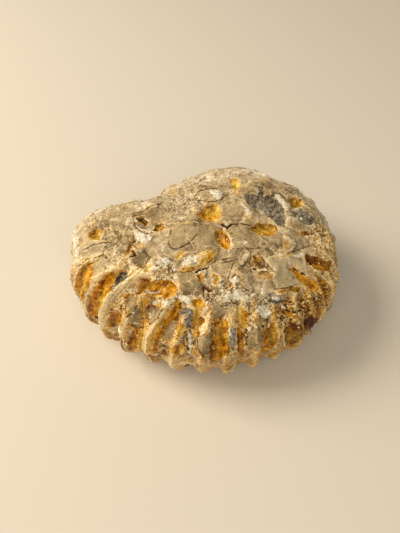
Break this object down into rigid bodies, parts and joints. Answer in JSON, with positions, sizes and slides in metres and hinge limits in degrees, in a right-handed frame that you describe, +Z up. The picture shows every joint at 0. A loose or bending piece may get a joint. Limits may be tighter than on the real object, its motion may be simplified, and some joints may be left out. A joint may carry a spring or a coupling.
{
  "type": "fossil ammonite",
  "caption": "Ammonite fossil lying flat: coiled shell with bold ribs and a scalloped rim, its upper flank hidden under rough matrix with calcite patches.",
  "frame": {"origin": "bottom centre of the fossil's bounding box, on the surface that it rests on", "axes": "+Z up, the coil's axis; +X along the longest extent, with the broken mouth at the -X end, facing +Y"},
  "size_m": [0.0996, 0.0859, 0.0396],
  "materials": {
    "stone": "rough grey-beige matrix with cream shell, honey-orange calcite and small dark crystals"
  },
  "bodies": {
    "root": {"ammonite": "stone"}
  },
  "joints": []
}
